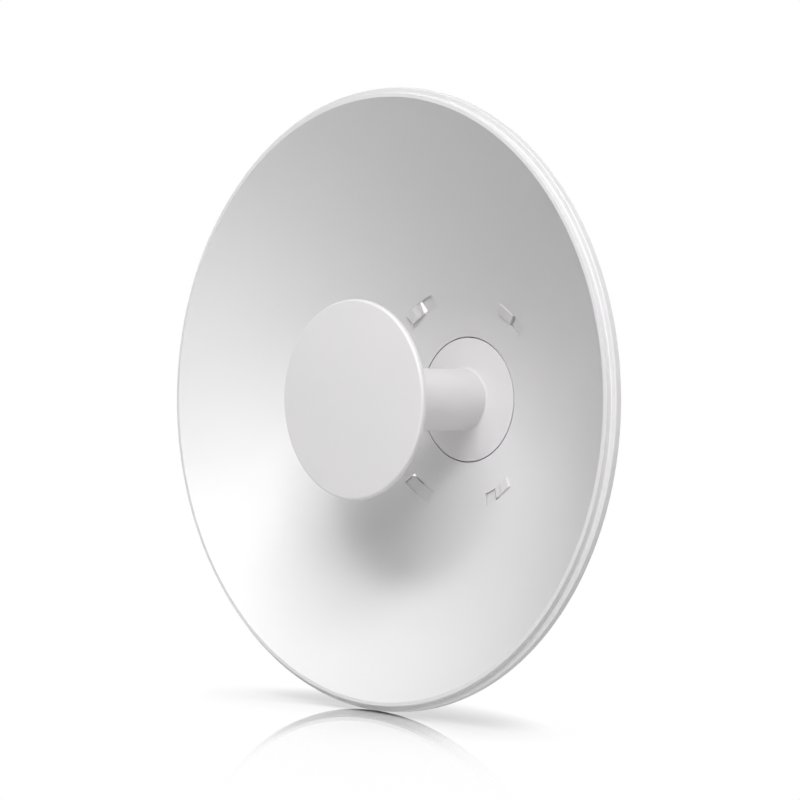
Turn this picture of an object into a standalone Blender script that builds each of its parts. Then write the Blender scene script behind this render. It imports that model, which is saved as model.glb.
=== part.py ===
"""Parabolic dish antenna, 420 mm over the rim, with a central feed and a pole clamp behind.

The dish looks along -Y and +Z is up. The origin lies on the rear face of the pole bracket's web,
on the dish's axis. Sizes are in metres.
"""

import math

import bmesh
import bpy
from mathutils import Matrix, Vector

MM = 0.001
GAP = 0.3 * MM                 # clearance between touching pieces

# Reflector
RIM_R = 202.9 * MM             # inner edge of the rim
DEPTH = 101.9 * MM             # depth of the paraboloid at its vertex
RIM_Y = -147.5 * MM            # plane of the rim
SHEET = 1.2 * MM
HUB_R = 44.6 * MM              # hole for the feed's base
RIM_STEPS = 72

# Feed
TUBE_R = 21.7 * MM
TUBE_WALL = 2.5 * MM
TUBE_FOOT = 92.7 * MM          # depth where the tube meets the base
BASE_T = 3.2 * MM              # thickness of the base at its edge
DISC_R = 67.1 * MM
DISC_FRONT = -17.0 * MM        # front face, ahead of the rim plane
DISC_FILLET = 3.7 * MM

# Bayonet slots and hooks; angles in degrees, counter-clockwise from +X seen from the front
SLOT_STARTS = (38.0, 109.0, 229.0, 290.0)
SLOT_SPAN = 11.0
SLOT_R = (69.8 * MM, 78.8 * MM)
STEM_SPAN = (9.45, 10.7)       # from the slot's start
STEM_R = (70.7 * MM, 77.8 * MM)
FOOT_SPAN = (9.3, 20.3)
FOOT_R = (70.3 * MM, 78.2 * MM)
NECK_H = 1.2 * MM              # the foot's top above the dish, near the stem
PAD_H = 2.2 * MM               # and over its raised end
KEY_Z = (-55.2 * MM, -50.2 * MM)

# Rear housing
PLATE_R = 84.0 * MM
PLATE_T = 2.5 * MM
DRUM_R = 47.0 * MM
WALL = 3.0 * MM
HOUSING_BACK = -12.5 * MM
SADDLE_X = 50.0 * MM
PORT_Y = (-42.0 * MM, -17.0 * MM)
OUTLET_Y = -29.5 * MM

# Pole bracket and clamp
STEEL = 2.5 * MM
ARM_X = SADDLE_X + GAP
PIVOT_Y = -30.0 * MM
LOCK_R = 26.0 * MM
WEB_HALF_Z = 34.0 * MM
FLANGE_X = 41.0 * MM
FLANGE_REACH = 20.0 * MM
NOTCH_Y = 3.0 * MM
NOTCH_HALF = 24.0 * MM
JAW_Y = 55.0 * MM
BOLT_X = 31.0 * MM
BOLT_R = 4.0 * MM


def clear_scene():
    for obj in list(bpy.data.objects):
        bpy.data.objects.remove(obj, do_unlink=True)
    for coll in list(bpy.data.collections):
        bpy.data.collections.remove(coll)


clear_scene()
PARTS = bpy.data.collections.new("parabolic_dish_antenna")
CUTTERS = bpy.data.collections.new("cutters")
bpy.context.scene.collection.children.link(PARTS)
bpy.context.scene.collection.children.link(CUTTERS)


def material(name, colour, roughness, metallic=0.0):
    mat = bpy.data.materials.new(name)
    mat.use_nodes = True
    shader = mat.node_tree.nodes["Principled BSDF"]
    shader.inputs["Base Color"].default_value = (*colour, 1.0)
    shader.inputs["Roughness"].default_value = roughness
    shader.inputs["Metallic"].default_value = metallic
    mat.diffuse_color = (*colour, 1.0)
    return mat


PAINT = material("white_powder_coat", (0.78, 0.78, 0.77), 0.42)
SHELL = material("white_moulding", (0.80, 0.80, 0.79), 0.38)
HOUSING = material("grey_white_moulding", (0.72, 0.72, 0.71), 0.5)
ZINC = material("galvanised_steel", (0.60, 0.61, 0.62), 0.45, 0.9)
STAINLESS = material("stainless_steel", (0.66, 0.66, 0.65), 0.28, 1.0)
RUBBER = material("dark_rubber", (0.03, 0.03, 0.03), 0.8)


def add(name, mesh, mat, coll=PARTS):
    obj = bpy.data.objects.new(name, mesh)
    coll.objects.link(obj)
    if mat is not None and not mesh.materials:
        mesh.materials.append(mat)
    return obj


def facing_front(obj, y=0.0):
    """Turns a piece modelled about Z so that its +Z points to the front, at depth y."""
    obj.rotation_euler = (math.radians(90), 0.0, 0.0)
    obj.location = (0.0, y, 0.0)
    return obj


def turned(name, profile, mat, steps, y=0.0, closed=True):
    """A profile of (radius, depth behind y) points turned about the dish's axis."""
    mesh = bpy.data.meshes.new(name)
    verts = [(r, 0.0, -d) for r, d in profile]
    edges = [(i, i + 1) for i in range(len(verts) - 1)]
    if closed and profile[0][0] > 0.0:
        edges.append((len(verts) - 1, 0))
    mesh.from_pydata(verts, edges, [])
    obj = facing_front(add(name, mesh, mat), y)
    screw(obj, steps)
    return obj


def screw(obj, steps):
    mod = obj.modifiers.new("Screw", "SCREW")
    mod.axis = "Z"
    mod.angle = math.tau
    mod.steps = steps
    mod.render_steps = steps
    mod.use_merge_vertices = True
    mod.merge_threshold = 0.00001
    mod.use_smooth_shade = True
    return mod


def baked(obj):
    """Replaces an object's data with the mesh that its modifiers make, at its own place."""
    deps = bpy.context.evaluated_depsgraph_get()
    mesh = bpy.data.meshes.new_from_object(obj.evaluated_get(deps))
    name, coll, world = obj.name, obj.users_collection[0], obj.matrix_world.copy()
    mats = [slot.material for slot in obj.material_slots]
    bpy.data.objects.remove(obj, do_unlink=True)
    bm = bmesh.new()
    bm.from_mesh(mesh)
    bmesh.ops.remove_doubles(bm, verts=bm.verts, dist=0.000002)
    bmesh.ops.recalc_face_normals(bm, faces=bm.faces)
    bm.to_mesh(mesh)
    bm.free()
    mesh.name = name
    fresh = bpy.data.objects.new(name, mesh)
    if not mesh.materials:
        for mat in mats:
            mesh.materials.append(mat)
    coll.objects.link(fresh)
    fresh.matrix_world = world
    bpy.context.view_layer.update()
    return fresh


def apply_place(obj):
    """Moves an object's place into its mesh."""
    bpy.context.view_layer.update()
    obj.data.transform(obj.matrix_world)
    obj.matrix_world = Matrix.Identity(4)
    return obj


def join_cut(obj, other, how):
    """Unites or cuts a piece with another and bakes the result."""
    bpy.context.view_layer.update()
    mod = obj.modifiers.new("Boolean", "BOOLEAN")
    mod.operation = how
    mod.solver = "EXACT"
    mod.object = other
    fresh = baked(obj)
    bpy.data.objects.remove(other, do_unlink=True)
    return fresh


def cut(obj, cutters):
    """Live cuts: the cutters stay as wire guides."""
    for cutter in cutters:
        cutter.hide_render = True
        cutter.display_type = "WIRE"
        mod = obj.modifiers.new("Cut", "BOOLEAN")
        mod.operation = "DIFFERENCE"
        mod.solver = "EXACT"
        mod.object = cutter
    return obj


def box(name, low, high, mat=None, coll=CUTTERS, bevel=0.0, segments=2):
    mesh = bpy.data.meshes.new(name)
    bm = bmesh.new()
    bmesh.ops.create_cube(bm, size=1.0)
    size = [b - a for a, b in zip(low, high)]
    middle = [(a + b) / 2 for a, b in zip(low, high)]
    place = Matrix.Translation(middle) @ Matrix.Diagonal((*size, 1.0))
    bmesh.ops.transform(bm, matrix=place, verts=bm.verts)
    bm.to_mesh(mesh)
    bm.free()
    obj = add(name, mesh, mat, coll)
    if bevel:
        round_edges(obj, bevel, segments)
    return obj


def round_edges(obj, width, segments=2, angle=40):
    mod = obj.modifiers.new("Bevel", "BEVEL")
    mod.width = width
    mod.segments = segments
    mod.limit_method = "ANGLE"
    mod.angle_limit = math.radians(angle)
    return mod


def rod(name, start, end, radius, sides=24, mat=None, coll=CUTTERS, tip=None):
    """A cylinder, or a cone if tip is given, from one point to another."""
    start, end = Vector(start), Vector(end)
    mesh = bpy.data.meshes.new(name)
    bm = bmesh.new()
    bmesh.ops.create_cone(bm, cap_ends=True, segments=sides, radius1=radius,
                          radius2=radius if tip is None else tip, depth=(end - start).length)
    turn = Vector((0, 0, 1)).rotation_difference(end - start).to_matrix().to_4x4()
    bmesh.ops.transform(bm, matrix=Matrix.Translation((start + end) / 2) @ turn, verts=bm.verts)
    bm.to_mesh(mesh)
    bm.free()
    return add(name, mesh, mat, coll)


def arc(centre, radius, start, end, count):
    """Points on an arc, angles in degrees."""
    out = []
    for i in range(count + 1):
        a = math.radians(start + (end - start) * i / count)
        out.append((centre[0] + radius * math.cos(a), centre[1] + radius * math.sin(a)))
    return out


def rounded(points, radii, count=4):
    """A polygon's outline with its corners rounded."""
    out = []
    n = len(points)
    for i, (p, r) in enumerate(zip(points, radii)):
        p = Vector(p)
        a = (Vector(points[i - 1]) - p).normalized()
        b = (Vector(points[(i + 1) % n]) - p).normalized()
        if r <= 0:
            out.append(tuple(p))
            continue
        half = a.angle(b) / 2
        reach = r / math.tan(half)
        centre = p + (a + b).normalized() * (r / math.sin(half))
        s, e = p + a * reach - centre, p + b * reach - centre
        turn = s.angle_signed(e)
        for k in range(count + 1):
            t = -turn * k / count
            out.append((centre.x + s.x * math.cos(t) - s.y * math.sin(t),
                        centre.y + s.x * math.sin(t) + s.y * math.cos(t)))
    return out


def plate(name, outlines, low, high, plane, mat=None, coll=PARTS):
    """A flat plate from outlines (the first is its edge, the rest are holes), normal to an axis."""
    curve = bpy.data.curves.new(name, "CURVE")
    curve.dimensions = "2D"
    curve.fill_mode = "BOTH"
    curve.extrude = (high - low) / 2
    for outline in outlines:
        spline = curve.splines.new("POLY")
        spline.points.add(len(outline) - 1)
        for point, (u, v) in zip(spline.points, outline):
            point.co = (u, v, 0.0, 1.0)
        spline.use_cyclic_u = True
    obj = bpy.data.objects.new(name, curve)
    coll.objects.link(obj)
    if mat is not None:
        curve.materials.append(mat)
    middle = (low + high) / 2
    obj.matrix_world = {
        "X": Matrix(((0, 0, 1, middle), (1, 0, 0, 0), (0, 1, 0, 0), (0, 0, 0, 1))),
        "Y": Matrix(((1, 0, 0, 0), (0, 0, 1, middle), (0, 1, 0, 0), (0, 0, 0, 1))),
        "Z": Matrix(((1, 0, 0, 0), (0, 1, 0, 0), (0, 0, 1, middle), (0, 0, 0, 1))),
    }[plane]
    bpy.context.view_layer.update()
    return apply_solid(obj)


def apply_solid(obj):
    """Makes a curve a welded mesh in place, with its faces pointing out."""
    fresh = baked(obj)
    world = fresh.matrix_world.copy()
    fresh.data.transform(world)
    fresh.matrix_world = Matrix.Identity(4)
    bm = bmesh.new()
    bm.from_mesh(fresh.data)
    bmesh.ops.recalc_face_normals(bm, faces=bm.faces)
    if bm.calc_volume(signed=True) < 0:
        bmesh.ops.reverse_faces(bm, faces=bm.faces)
    bm.to_mesh(fresh.data)
    bm.free()
    return fresh


def bowl(r):
    """Depth of the paraboloid's front surface behind the rim plane."""
    return DEPTH * (1.0 - (r / RIM_R) ** 2)


def bowl_slope(r):
    return -2.0 * DEPTH * r / RIM_R ** 2


def behind(r, offset):
    """A point at this offset behind the front surface, measured along its normal."""
    s = bowl_slope(r)
    n = math.hypot(s, 1.0)
    return r - s / n * offset, bowl(r) + offset / n


def on_turn(r, depth, angle):
    """A point at a radius, a depth behind the rim plane and an angle in degrees."""
    a = math.radians(angle)
    return Vector((r * math.cos(a), RIM_Y + depth, r * math.sin(a)))


def sector(name, section, start, end, steps, mat=None, coll=CUTTERS):
    """A closed section of (radius, depth) points swept round the dish's axis through some degrees."""
    mesh = bpy.data.meshes.new(name)
    bm = bmesh.new()
    face = bm.faces.new([bm.verts.new(on_turn(r, d, start)) for r, d in section])
    parts = list(face.verts) + list(face.edges) + [face]
    bmesh.ops.spin(bm, geom=parts, cent=(0, 0, 0), axis=(0, -1, 0), angle=math.radians(end - start),
                   steps=steps)
    bmesh.ops.recalc_face_normals(bm, faces=bm.faces)
    if bm.calc_volume(signed=True) < 0:
        bmesh.ops.reverse_faces(bm, faces=bm.faces)
    bm.to_mesh(mesh)
    bm.free()
    return add(name, mesh, mat, coll)


def make_reflector():
    """The pressed paraboloid with its stepped rim, slotted for the housing's hooks."""
    mm = MM
    radii = [HUB_R] + [r * mm for r in (57, 66, 74, 82, 92, 106, 126, 150, 176)] + [RIM_R]
    profile = [(r, bowl(r)) for r in radii]
    profile += [(204.6 * mm, -0.2 * mm), (205.3 * mm, 0.5 * mm), (205.6 * mm, 3.6 * mm),
                (208.6 * mm, 4.3 * mm), (209.4 * mm, 5.0 * mm), (210.0 * mm, 7.8 * mm)]
    obj = turned("reflector", profile, PAINT, RIM_STEPS, RIM_Y, closed=False)
    solid = obj.modifiers.new("Solidify", "SOLIDIFY")
    solid.thickness = SHEET
    solid.offset = -1.0
    solid.use_even_offset = True
    solid.use_rim = True
    cutters = []
    block = [(SLOT_R[0], 75 * mm), (SLOT_R[1], 75 * mm), (SLOT_R[1], 105 * mm), (SLOT_R[0], 105 * mm)]
    for i, start in enumerate(SLOT_STARTS):
        cutters.append(sector(f"slot_{i}", block, start, start + SLOT_SPAN, 3))
    return cut(obj, cutters)


def make_feed():
    mm = MM
    hub_face = bowl(HUB_R)
    base = turned("feed_base", [
        (TUBE_R + GAP, TUBE_FOOT), (30 * mm, 94.2 * mm), (43.2 * mm, hub_face - 0.3 * mm),
        (HUB_R - GAP, hub_face + 0.7 * mm), (HUB_R - GAP, hub_face + BASE_T),
        (40.0 * mm, hub_face + BASE_T), (40.0 * mm, 111.0 * mm), (37.0 * mm, 111.0 * mm),
        (37.0 * mm, 104.0 * mm), (TUBE_R + GAP, 104.0 * mm)], SHELL, 48, RIM_Y)
    tube = turned("feed_tube", [
        (TUBE_R - TUBE_WALL, -14.7 * mm), (TUBE_R, -14.7 * mm), (TUBE_R, 103.0 * mm),
        (TUBE_R - TUBE_WALL, 103.0 * mm)], SHELL, 40, RIM_Y)
    f, r, t = DISC_FRONT, DISC_R, DISC_FILLET
    edge = [(r - t + t * math.sin(math.radians(a)), f + t - t * math.cos(math.radians(a)))
            for a in (0, 22.5, 45, 67.5, 90)]
    face = turned("feed_disc", [(0.0, f)] + edge + [
        (r - 1.5 * mm, f + t + 1.5 * mm), (r - 3.2 * mm, f + t + 1.5 * mm), (r - 3.2 * mm, f + t),
        (r - t - 0.8 * mm, f + 2.0 * mm), (0.0, f + 2.0 * mm)], SHELL, 56, RIM_Y)
    back_y = f + t + 1.5 * mm + GAP
    back = turned("feed_disc_back", [
        (TUBE_R + GAP, 5.0 * mm), (TUBE_R + GAP, -6.0 * mm), (58.0 * mm, back_y),
        (65.2 * mm, back_y), (64.2 * mm, back_y + 1.2 * mm), (58.0 * mm, back_y + 2.0 * mm),
        (27.0 * mm, -2.5 * mm), (TUBE_R + 2.3 * mm, 5.0 * mm)], SHELL, 48, RIM_Y)
    return base, tube, face, back


def make_housing():
    """The rear moulding: a plate under the dish with four hooks, and a drum behind it."""
    mm = MM
    back = HOUSING_BACK - RIM_Y
    front = SHEET + GAP
    seat = [behind(r, front) for r in (46 * mm, 54 * mm, 62 * mm, 70 * mm, 76 * mm, PLATE_R - 2 * mm)]
    under = [behind(r, front + PLATE_T) for r in (PLATE_R - 2.6 * mm, 70 * mm, 60 * mm, 51 * mm)]
    inner = DRUM_R - WALL
    ledge = bowl(HUB_R) + BASE_T + GAP
    profile = [(0.0, back - WALL), (inner - 4 * mm, back - WALL), (inner, back - WALL - 4 * mm),
               (inner, ledge + 3.5 * mm), (40.8 * mm, ledge + 2.5 * mm), (40.8 * mm, ledge), (HUB_R, ledge),
               (HUB_R, bowl(HUB_R) + front + 0.3 * mm)]
    profile += seat + under
    profile += [(DRUM_R + 0.6 * mm, under[-1][1] + 3 * mm), (DRUM_R, under[-1][1] + 8 * mm),
                (DRUM_R, back - 5 * mm), (DRUM_R - 1.5 * mm, back - 1.5 * mm),
                (DRUM_R - 5 * mm, back), (0.0, back)]
    obj = baked(turned("rear_housing", profile, HOUSING, 48, RIM_Y))
    apply_place(obj)
    saddle = box("saddle", (-SADDLE_X, PIVOT_Y - 12.5 * mm, -15 * mm),
                 (SADDLE_X, PIVOT_Y + 12.5 * mm, LOCK_R + 10 * mm), HOUSING, bevel=3 * mm)
    obj = join_cut(obj, saddle, "UNION")
    hollow = rod("hollow", (0, RIM_Y + ledge + 4.2 * mm, 0), (0, HOUSING_BACK - WALL, 0),
                 inner - 1.0 * mm, 48)
    obj = join_cut(obj, hollow, "DIFFERENCE")
    wall = [behind(68.6 * mm, SHEET + GAP / 2), behind(74 * mm, SHEET + GAP / 2),
            behind(79.8 * mm, SHEET + GAP / 2), (79.8 * mm, 104 * mm), (68.6 * mm, 104 * mm)]
    for i, start in enumerate(SLOT_STARTS):
        window = sector(f"window_{i}", wall, start + STEM_SPAN[1] + 0.5, start + FOOT_SPAN[1] + 0.8, 5)
        obj = join_cut(obj, window, "DIFFERENCE")
        obj = join_cut(obj, hook(i, start), "UNION")
    key = box("key", (-72 * mm, RIM_Y + 78 * mm, KEY_Z[0]), (-44 * mm, RIM_Y + 108 * mm, KEY_Z[1]))
    obj = join_cut(obj, key, "DIFFERENCE")
    for side in (-1, 1):
        for z in (0.0, LOCK_R):
            hole = rod("bolt_hole", (side * (SADDLE_X + 2 * mm), PIVOT_Y, z),
                       (side * 37.0 * mm, PIVOT_Y, z), BOLT_R + GAP, 16)
            obj = join_cut(obj, hole, "DIFFERENCE")
    port = box("port", (-17 * mm, PORT_Y[0] - GAP, -60 * mm), (17 * mm, PORT_Y[1] + GAP, -35 * mm))
    return join_cut(obj, port, "DIFFERENCE")


def foot_top(turn):
    """Height of a foot above the dish, at an angle from its slot's start."""
    if turn < 11.8:
        return NECK_H
    return PAD_H if turn < 19.8 else PAD_H - 0.8 * MM


def hook(i, start):
    """A stem through the slot and a curved foot that lies on the dish's front, with a raised end."""
    mm = MM
    low, high = FOOT_R
    base = [(low, GAP), ((low + high) / 2, GAP), (high, GAP)]
    top = [(high, 1.3 * mm), (high - 0.9 * mm, PAD_H), (low + 0.9 * mm, PAD_H), (low, 1.3 * mm)]
    turns = [FOOT_SPAN[0], 10.5, 11.7, 12.9] + [14.4, 15.9, 17.4, 18.6, 19.6, FOOT_SPAN[1]]
    bm = bmesh.new()
    rings = []
    for turn in turns:
        points = [behind(r, -h) for r, h in base]
        points += [behind(r, -min(h, foot_top(turn))) for r, h in top]
        rings.append([bm.verts.new(on_turn(r, d, start + turn)) for r, d in points])
    for ring, following in zip(rings, rings[1:]):
        for k, vert in enumerate(ring):
            bm.faces.new((vert, ring[k - 1], following[k - 1], following[k]))
    bm.faces.new(rings[0])
    bm.faces.new(rings[-1])
    bmesh.ops.recalc_face_normals(bm, faces=bm.faces)
    mesh = bpy.data.meshes.new(f"foot_{i}")
    bm.to_mesh(mesh)
    bm.free()
    foot = add(f"foot_{i}", mesh, HOUSING, CUTTERS)
    inner, outer = STEM_R
    reach = SHEET + GAP + 1.2 * mm
    section = [behind(inner, -0.7 * mm), behind(outer, -0.7 * mm), behind(outer, reach),
               behind(inner, reach)]
    stem = sector(f"stem_{i}", section, start + STEM_SPAN[0], start + STEM_SPAN[1], 1, HOUSING)
    return join_cut(stem, foot, "UNION")


def make_port():
    mm = MM
    lid = box("port_cover", (-16.7 * mm, PORT_Y[0], -47.0 * mm), (16.7 * mm, PORT_Y[1], -44.5 * mm),
              HOUSING, PARTS, bevel=0.6 * mm, segments=1)
    hole = rod("grommet_hole", (0, OUTLET_Y, -50 * mm), (0, OUTLET_Y, -40 * mm), 6.0 * mm, 24)
    lid = join_cut(baked(lid), hole, "DIFFERENCE")
    profile = [(3.5, -2.4), (4.6, -2.4), (7.6, -1.6), (7.6, -0.3), (5.7, -0.3), (5.7, 2.8),
               (7.2, 2.8), (7.2, 4.0), (3.5, 4.0)]
    mesh = bpy.data.meshes.new("cable_grommet")
    verts = [(r * mm, 0.0, -z * mm) for r, z in profile]
    mesh.from_pydata(verts, [(i, (i + 1) % len(verts)) for i in range(len(verts))], [])
    ring = add("cable_grommet", mesh, RUBBER)
    ring.rotation_euler = (math.radians(180), 0, 0)
    ring.location = (0, OUTLET_Y, -47.0 * mm)
    screw(ring, 16)
    return lid, ring


def circle(centre, radius, count=20):
    return arc(centre, radius, 0, 360 - 360 / count, count - 1)


def arc_slot(centre, radius, half_width, start, end):
    """Outline of a curved slot, angles in degrees."""
    out = arc(centre, radius + half_width, start, end, 8)
    tip = math.radians(end)
    c = (centre[0] + radius * math.cos(tip), centre[1] + radius * math.sin(tip))
    out += arc(c, half_width, end, end + 180, 5)[1:-1]
    out += arc(centre, radius - half_width, end, start, 8)
    tip = math.radians(start)
    c = (centre[0] + radius * math.cos(tip), centre[1] + radius * math.sin(tip))
    out += arc(c, half_width, start + 180, start + 360, 5)[1:-1]
    return out


def square(centre, half):
    x, y = centre
    return [(x - half, y - half), (x + half, y - half), (x + half, y + half), (x - half, y + half)]


def notched(y_bend, y_edge, notch_y, half):
    """Outline of a flange with a V notch, from its bend to its free edge."""
    s = 1 if y_edge > y_bend else -1
    pts = [(-half, y_bend), (half, y_bend), (half, y_edge - s * 6 * MM), (half - 6 * MM, y_edge),
           (NOTCH_HALF, y_edge), (0, notch_y), (-NOTCH_HALF, y_edge), (-half + 6 * MM, y_edge),
           (-half, y_edge - s * 6 * MM)]
    return pts


def make_bracket():
    """Folded steel: a web, two arms forward beside the housing, two notched flanges to the rear."""
    mm = MM
    outer = ARM_X + STEEL
    lip = 0.2 * mm
    side, corner, top = outer - lip, FLANGE_X + 2 * lip, WEB_HALF_Z + lip
    web_edge = [(-side, -26 * mm), (-corner, -top), (corner, -top), (side, -26 * mm),
                (side, top), (-side, top)]
    web = plate("pole_bracket", [web_edge, square((-BOLT_X, 0), 4.3 * mm), square((BOLT_X, 0), 4.3 * mm)],
                -STEEL, 0.0, "Y", ZINC)
    arm_edge = rounded([(-STEEL / 2, -25.5 * mm), (PIVOT_Y, -15 * mm), (PIVOT_Y - 15 * mm, -15 * mm),
                        (PIVOT_Y - 15 * mm, WEB_HALF_Z), (-STEEL / 2, WEB_HALF_Z)],
                       [0, 4 * mm, 12 * mm, 10 * mm, 0])
    holes = [circle((PIVOT_Y, 0), BOLT_R + 0.3 * mm, 16),
             arc_slot((PIVOT_Y, 0), LOCK_R, BOLT_R + 0.3 * mm, 72, 108)]
    for side in (-1, 1):
        low, high = sorted((side * ARM_X, side * outer))
        arm = plate("arm", [arm_edge] + holes, low, high, "X", ZINC, CUTTERS)
        web = join_cut(web, arm, "UNION")
    for side in (-1, 1):
        low, high = sorted((side * (WEB_HALF_Z - STEEL), side * WEB_HALF_Z))
        edge = notched(-STEEL / 2, FLANGE_REACH, NOTCH_Y, FLANGE_X)
        flange = plate("flange", [edge], low, high, "Z", ZINC, CUTTERS)
        web = join_cut(web, flange, "UNION")
    return web


def make_jaw():
    mm = MM
    half_z = 28 * mm
    wide, high = FLANGE_X + 0.2 * mm, half_z + 0.2 * mm
    web_edge = [(-wide, -high), (wide, -high), (wide, high), (-wide, high)]
    holes = [circle((side * BOLT_X, 0), 4.3 * mm, 16) for side in (-1, 1)]
    jaw = plate("clamp_jaw", [web_edge] + holes, JAW_Y, JAW_Y + STEEL, "Y", ZINC)
    for side in (-1, 1):
        low, high = sorted((side * (half_z - STEEL), side * half_z))
        edge = notched(JAW_Y + STEEL / 2, JAW_Y - 17 * mm, JAW_Y - 3 * mm, FLANGE_X)
        flange = plate("jaw_flange", [edge], low, high, "Z", ZINC, CUTTERS)
        jaw = join_cut(jaw, flange, "UNION")
    return jaw


def carriage_bolt(name, x):
    """Domed head ahead of the web, square neck in it, shank to the rear."""
    mm = MM
    head = [(0.0, 4.4), (4.0, 4.1), (7.5, 2.9), (9.6, 1.2), (10.0, 0.0), (3.95, 0.0)]
    mesh = bpy.data.meshes.new(name)
    length = 69.5
    pts = head + [(3.95, -length + 0.8), (3.2, -length), (0.0, -length)]
    verts = [(r * mm, 0.0, z * mm) for r, z in pts]
    mesh.from_pydata(verts, [(i, i + 1) for i in range(len(verts) - 1)], [])
    bolt = add(name, mesh, STAINLESS)
    bolt.rotation_euler = (math.radians(90), 0, 0)
    bolt.location = (x, -STEEL - GAP, 0)
    screw(bolt, 20)
    bolt = apply_place(baked(bolt))
    neck = box("neck", (x - 4 * mm, -STEEL - GAP * 2, -4 * mm), (x + 4 * mm, 0.5 * mm, 4 * mm), STAINLESS)
    return join_cut(bolt, neck, "UNION")


def hexagon(name, start, end, flat_width, mat=STAINLESS, coll=CUTTERS):
    return rod(name, start, end, flat_width / 2 / math.cos(math.pi / 6), 6, mat, coll)


def flange_nut(name, x):
    mm = MM
    y = JAW_Y + STEEL + GAP
    nut = rod(name, (x, y, 0), (x, y + 1.6 * mm, 0), 8.8 * mm, 24, STAINLESS, PARTS, tip=8.2 * mm)
    body = hexagon("body", (x, y + 1.0 * mm, 0), (x, y + 8.0 * mm, 0), 13 * mm)
    nut = join_cut(nut, body, "UNION")
    hole = rod("thread", (x, y - 2 * mm, 0), (x, y + 10 * mm, 0), BOLT_R + 0.25 * mm, 20)
    return join_cut(nut, hole, "DIFFERENCE")


def side_screw(name, side, z):
    """Hex bolt and washer through a bracket arm into the housing's saddle."""
    mm = MM
    x = ARM_X + STEEL + GAP
    ring = rod(f"{name}_washer", (side * x, PIVOT_Y, z), (side * (x + 1.6 * mm), PIVOT_Y, z), 8.0 * mm, 24,
               STAINLESS, PARTS)
    hole = rod("hole", (side * (x - 2 * mm), PIVOT_Y, z), (side * (x + 4 * mm), PIVOT_Y, z),
               BOLT_R + 0.25 * mm, 20)
    join_cut(ring, hole, "DIFFERENCE")
    x += 1.6 * mm + GAP
    bolt = hexagon(name, (side * x, PIVOT_Y, z), (side * (x + 5.3 * mm), PIVOT_Y, z), 13 * mm,
                   STAINLESS, PARTS)
    shank = rod("shank", (side * (x + 1 * mm), PIVOT_Y, z), (side * 38 * mm, PIVOT_Y, z),
                BOLT_R - 0.05 * mm, 20, STAINLESS)
    return join_cut(bolt, shank, "UNION")


def shade(obj, angle=35):
    if obj.type == "MESH" and len(obj.data.polygons):
        obj.data.shade_smooth()
        obj.data.set_sharp_from_angle(angle=math.radians(angle))


make_reflector()
make_feed()
make_housing()
make_port()
make_bracket()
make_jaw()
for word, sign in (("left", -1), ("right", 1)):
    carriage_bolt(f"clamp_bolt_{word}", sign * BOLT_X)
    flange_nut(f"clamp_nut_{word}", sign * BOLT_X)
    side_screw(f"pivot_bolt_{word}", sign, 0.0)
    side_screw(f"lock_bolt_{word}", sign, LOCK_R)
for piece in PARTS.objects:
    shade(piece)
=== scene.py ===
import math

import bmesh
import bpy
from mathutils import Matrix, Vector


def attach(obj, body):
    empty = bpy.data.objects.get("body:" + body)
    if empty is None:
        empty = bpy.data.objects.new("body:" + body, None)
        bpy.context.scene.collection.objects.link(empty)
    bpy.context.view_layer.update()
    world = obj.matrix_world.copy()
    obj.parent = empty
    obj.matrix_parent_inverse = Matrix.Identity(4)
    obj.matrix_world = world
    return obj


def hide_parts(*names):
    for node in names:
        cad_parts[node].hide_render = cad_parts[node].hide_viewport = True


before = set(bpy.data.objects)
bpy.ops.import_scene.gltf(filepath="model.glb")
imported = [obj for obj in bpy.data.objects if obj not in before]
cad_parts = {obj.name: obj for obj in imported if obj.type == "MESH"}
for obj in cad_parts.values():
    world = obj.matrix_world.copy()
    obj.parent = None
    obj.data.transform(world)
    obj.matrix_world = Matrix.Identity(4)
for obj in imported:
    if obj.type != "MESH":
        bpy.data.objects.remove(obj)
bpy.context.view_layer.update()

MM = 0.001

# The dish, in metres: it looks along -Y, and the pole bracket's rear face is at Y = 0
RIM_Y = -147.5 * MM
RIM_R = 202.9 * MM
DEPTH = 101.9 * MM
SHEET = 1.2 * MM
HUB_R = 44.6 * MM
TUBE_R = 21.7 * MM
DISC_R = 67.1 * MM
DISC_FRONT = -17.0 * MM
DISC_FILLET = 3.7 * MM
GAP = 0.3 * MM
SEAM = 0.8 * MM                          # the dark line round the feed's base, which shows wider than the gap

# Bayonet slots and the hooks that lock in them; angles in degrees, counter-clockwise from +X
SLOT_STARTS = (38.0, 109.0, 229.0, 290.0)
SLOT_SPAN = 11.0
SLOT_R = (69.8 * MM, 78.8 * MM)
STEM_SPAN = (9.32, 10.7)
FOOT_END = 20.3
FOOT_R = (70.3 * MM, 78.2 * MM)
# Height of each hook's pad above the dish, read for each one by itself
PAD_HEIGHTS = {38.0: 1.5 * MM, 109.0: 2.6 * MM, 229.0: 0.5 * MM, 290.0: 2.0 * MM}
EDGE_R = 0.45 * MM                       # rounding along a hook's foot
# The plate has a window under each hook's foot. One slot shows daylight beside its hook: its window is larger,
# the foot's near edge is cut askew, and a small rib carries it
OPEN_SLOT = 109.0
OPEN_SPAN = (8.2, 21.1)
OPEN_R = (71.0 * MM, 80.8 * MM)
CLOSED_SPAN = (11.2, 21.1)
CLOSED_R = (68.6 * MM, 79.8 * MM)
ASKEW = 1.05
ASKEW_NEAR = 9.75
RIB_R = (70.0 * MM, 71.1 * MM)
RIB_SPAN = (9.9, 10.95)
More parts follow.
